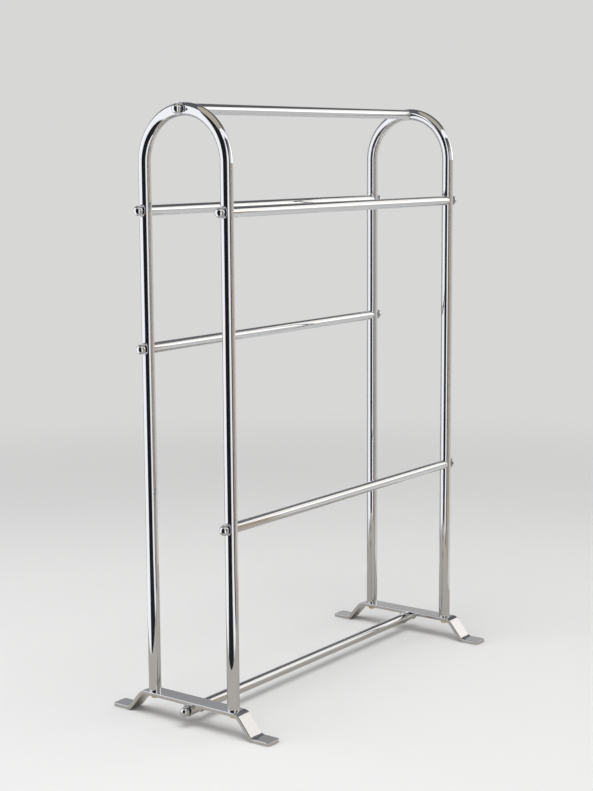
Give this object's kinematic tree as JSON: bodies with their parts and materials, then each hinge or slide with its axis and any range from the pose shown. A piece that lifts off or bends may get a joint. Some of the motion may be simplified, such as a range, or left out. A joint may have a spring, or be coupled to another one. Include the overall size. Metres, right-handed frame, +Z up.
{
  "type": "freestanding towel stand",
  "caption": "Freestanding towel stand: hooped tube end frames on joggled foot bars, joined by cross rails with ball-headed bolts.",
  "frame": {"origin": "on the floor, midway between the four feet", "axes": "+X along the rails from the left to the right end frame, -Y to the front (the side with the lower rail), +Z up"},
  "size_m": [0.6566, 0.3068, 0.93],
  "materials": {
    "chrome_tube": "bright chrome plate on round steel tube",
    "chrome_bar": "bright chrome plate on bent flat steel bar",
    "chrome_fitting": "bright chrome plate on turned steel",
    "zinc_plug": "clear zinc plate on turned steel",
    "yellow_zinc": "yellow passivated zinc plate on steel fasteners"
  },
  "bodies": {
    "root": {"left_hoop": "chrome_tube", "left_foot_bar": "chrome_bar", "left_rail_boss": "chrome_bar", "left_leg_plugs": "zinc_plug", "left_front_foot_bolt": "yellow_zinc", "left_front_spring_washer": "yellow_zinc", "left_rear_foot_bolt": "yellow_zinc", "left_rear_spring_washer": "yellow_zinc", "right_hoop": "chrome_tube", "right_foot_bar": "chrome_bar", "right_rail_boss": "chrome_bar", "right_leg_plugs": "zinc_plug", "right_front_foot_bolt": "yellow_zinc", "right_front_spring_washer": "yellow_zinc", "right_rear_foot_bolt": "yellow_zinc", "right_rear_spring_washer": "yellow_zinc", "top_rail": "chrome_tube", "top_rail_plugs": "zinc_plug", "left_top_collar": "chrome_fitting", "left_top_ball_bolt": "chrome_fitting", "right_top_collar": "chrome_fitting", "right_top_ball_bolt": "chrome_fitting", "upper_front_rail": "chrome_tube", "upper_front_rail_plugs": "zinc_plug", "left_upper_front_collar": "chrome_fitting", "left_upper_front_ball_bolt": "chrome_fitting", "right_upper_front_collar": "chrome_fitting", "right_upper_front_ball_bolt": "chrome_fitting", "upper_rear_rail": "chrome_tube", "upper_rear_rail_plugs": "zinc_plug", "left_upper_rear_collar": "chrome_fitting", "left_upper_rear_ball_bolt": "chrome_fitting", "right_upper_rear_collar": "chrome_fitting", "right_upper_rear_ball_bolt": "chrome_fitting", "middle_rear_rail": "chrome_tube", "middle_rear_rail_plugs": "zinc_plug", "left_middle_rear_collar": "chrome_fitting", "left_middle_rear_ball_bolt": "chrome_fitting", "right_middle_rear_collar": "chrome_fitting", "right_middle_rear_ball_bolt": "chrome_fitting", "lower_front_rail": "chrome_tube", "lower_front_rail_plugs": "zinc_plug", "left_lower_front_collar": "chrome_fitting", "left_lower_front_ball_bolt": "chrome_fitting", "right_lower_front_collar": "chrome_fitting", "right_lower_front_ball_bolt": "chrome_fitting", "bottom_rail": "chrome_tube", "bottom_rail_plugs": "zinc_plug", "left_bottom_collar": "chrome_fitting", "left_bottom_ball_bolt": "chrome_fitting", "right_bottom_collar": "chrome_fitting", "right_bottom_ball_bolt": "chrome_fitting", "left_bottom_rail_ring": "chrome_fitting", "right_bottom_rail_ring": "chrome_fitting"}
  },
  "joints": []
}
